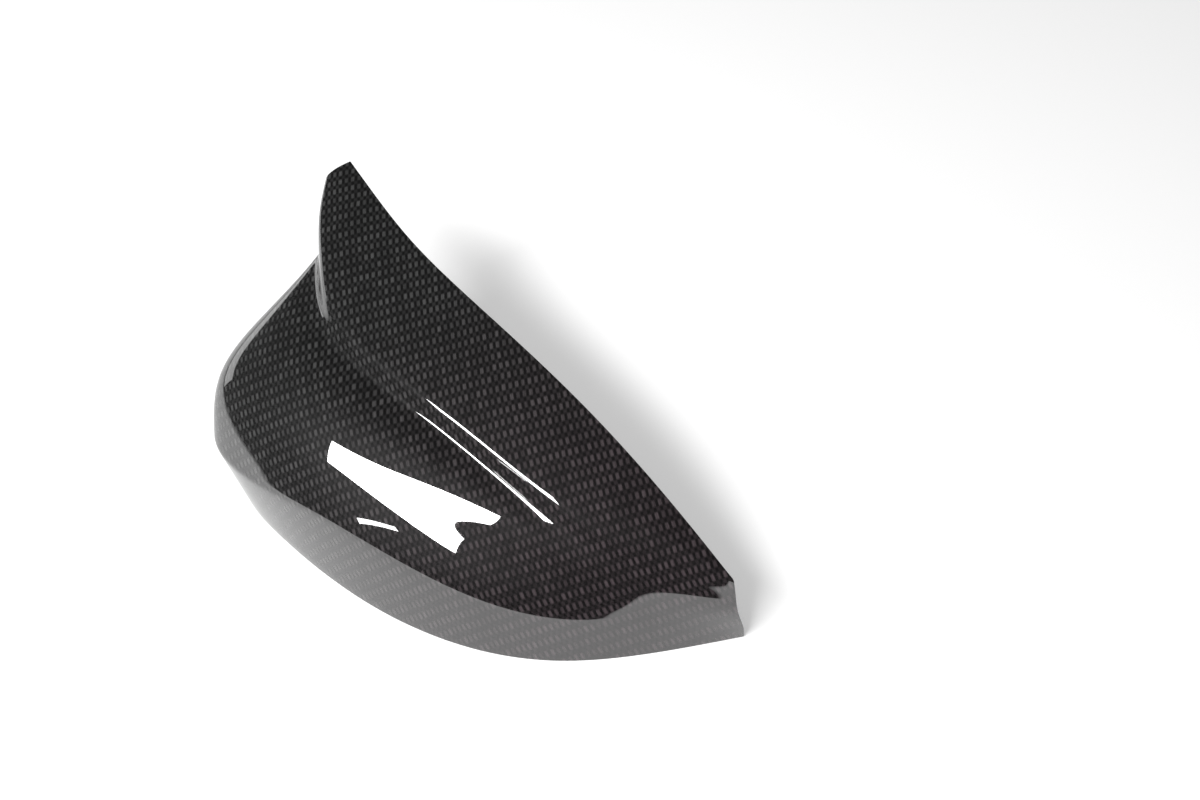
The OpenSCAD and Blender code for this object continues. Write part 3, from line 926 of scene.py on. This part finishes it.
# %% Matte inside
matte, tree, shader = finish("black_matte_inside", Roughness=0.6, Specular_IOR_Level=0.4)
at = add(tree, "TexCoord").outputs["Object"]
grain = add(tree, "TexNoise", {"Vector": at, "Scale": 900.0, "Detail": 4.0}).outputs["Fac"]
shade = add(tree, "ValToRGB", {"Fac": grain})
shade.color_ramp.elements[0].color = (0.010, 0.010, 0.010, 1)
shade.color_ramp.elements[1].color = (0.022, 0.022, 0.022, 1)
tree.links.new(shade.outputs["Color"], shader.inputs["Base Color"])
bump = add(tree, "Bump", {"Strength": 0.3, "Distance": 0.1 * MM, "Height": grain})
tree.links.new(bump.outputs["Normal"], shader.inputs["Normal"])
print("matte nodes:", len(tree.nodes))

# %% [markdown]
# The mesh takes the three finishes in the order of their numbers. Then the cover is hung
# on the empty of the only body, and the imported cover_shell is hidden.

# %% Finishes on the cover
for material in (carbon, satin, matte):
    mesh.materials.append(material)
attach(cover, "root")
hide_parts("cover_shell")
print("finishes:", [m.name for m in mesh.materials])

# %% [markdown]
# ## Floor and room
#
# The cover stands on a white floor that fills the picture. The floor's own colour is kept at
# a natural white, and what the camera and the mirror-like coat see of it is lifted a little
# more, which turns the background white and leaves the shadow in place.

# %% Floor
FLOOR_HALF = 4.0
PAPER_WHITE, FLOOR_LIFT = (0.86, 0.86, 0.86, 1), 0.34
corners = [(x * FLOOR_HALF, y * FLOOR_HALF, 0) for x, y in ((-1, -1), (1, -1), (1, 1), (-1, 1))]
floor_mesh = bpy.data.meshes.new("floor")
floor_mesh.from_pydata(corners, [], [(0, 1, 2, 3)])
floor = bpy.data.objects.new("floor", floor_mesh)
bpy.context.scene.collection.objects.link(floor)
floor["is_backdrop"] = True
paper, tree, shader = finish("white_paper", Roughness=0.9, Specular_IOR_Level=0.0)
shader.inputs["Base Color"].default_value = PAPER_WHITE
ray = add(tree, "LightPath").outputs
seen = calc(tree, "MAXIMUM", ray["Is Camera Ray"], ray["Is Glossy Ray"])
seen = calc(tree, "MAXIMUM", seen, ray["Is Transmission Ray"])
tree.links.new(calc(tree, "MULTIPLY", seen, FLOOR_LIFT), shader.inputs["Emission Strength"])
shader.inputs["Emission Color"].default_value = (1, 1, 1, 1)
floor_mesh.materials.append(paper)
print("floor of", 2 * FLOOR_HALF, "m")

# %% [markdown]
# ## Lamps
#
# Glossy black shows little but reflections, so the lamps are set by what they must look like
# in the coat. Each soft box is given by its direction from the cover, its apparent width and
# height in degrees, and how bright its surface is. The room around them is nearly dark.

# %% Lamps
def soft_box(name, azimuth, elevation, wide, high, brightness, turn=0, distance=1.5):
    """A rectangular lamp that faces the cover, turned in its own plane by some degrees. Its
    power is four times its area times its surface brightness."""
    az, el = math.radians(azimuth), math.radians(elevation)
    toward = Vector((math.cos(el) * math.cos(az), math.cos(el) * math.sin(az), math.sin(el)))
    lamp = bpy.data.lights.new(name, "AREA")
    lamp.shape = "RECTANGLE"
    half_angles = [math.radians(a) / 2 for a in (wide, high)]
    lamp.size, lamp.size_y = [2 * distance * math.tan(a) for a in half_angles]
    lamp.energy = 4 * lamp.size * lamp.size_y * brightness
    place = bpy.data.objects.new(name, lamp)
    place.location = toward * distance
    facing = (-toward).to_track_quat("-Z", "Y") @ Quaternion((0, 0, 1), math.radians(turn))
    place.rotation_euler = facing.to_euler()
    bpy.context.scene.collection.objects.link(place)
    print(name, "power", round(lamp.energy, 1))
    return place


soft_box("front_box", -86, 50.4, wide=31, high=11.5, brightness=24, turn=11)
soft_box("thin_strip", -84.5, 34.5, wide=13, high=1.3, brightness=16, turn=45)
soft_box("left_wall", -168, 8, wide=36, high=11, brightness=1.4)
soft_box("ceiling", 0, 89, wide=60, high=60, brightness=0.6).visible_glossy = False

# %% Room
ROOM_GLOW = 0.03
world = bpy.data.worlds.new("room")
bpy.context.scene.world = world
world.use_nodes = True
background = world.node_tree.nodes["Background"].inputs
background["Color"].default_value = (1, 1, 1, 1)
background["Strength"].default_value = ROOM_GLOW
bpy.context.scene.view_settings.view_transform = "Standard"
print("room glows at", ROOM_GLOW)

# %% [markdown]
# ## Sizes
#
# The looks must not change the size of the part, so the difference between the box of the
# imported solid and the box of the finished scene is printed.

# %% Print the difference of the boxes
seen_box = [list(corner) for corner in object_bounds()]
difference = np.array(seen_box) - np.array(cad_box)
print("difference in mm:", np.round(difference * 1000, 2).tolist())
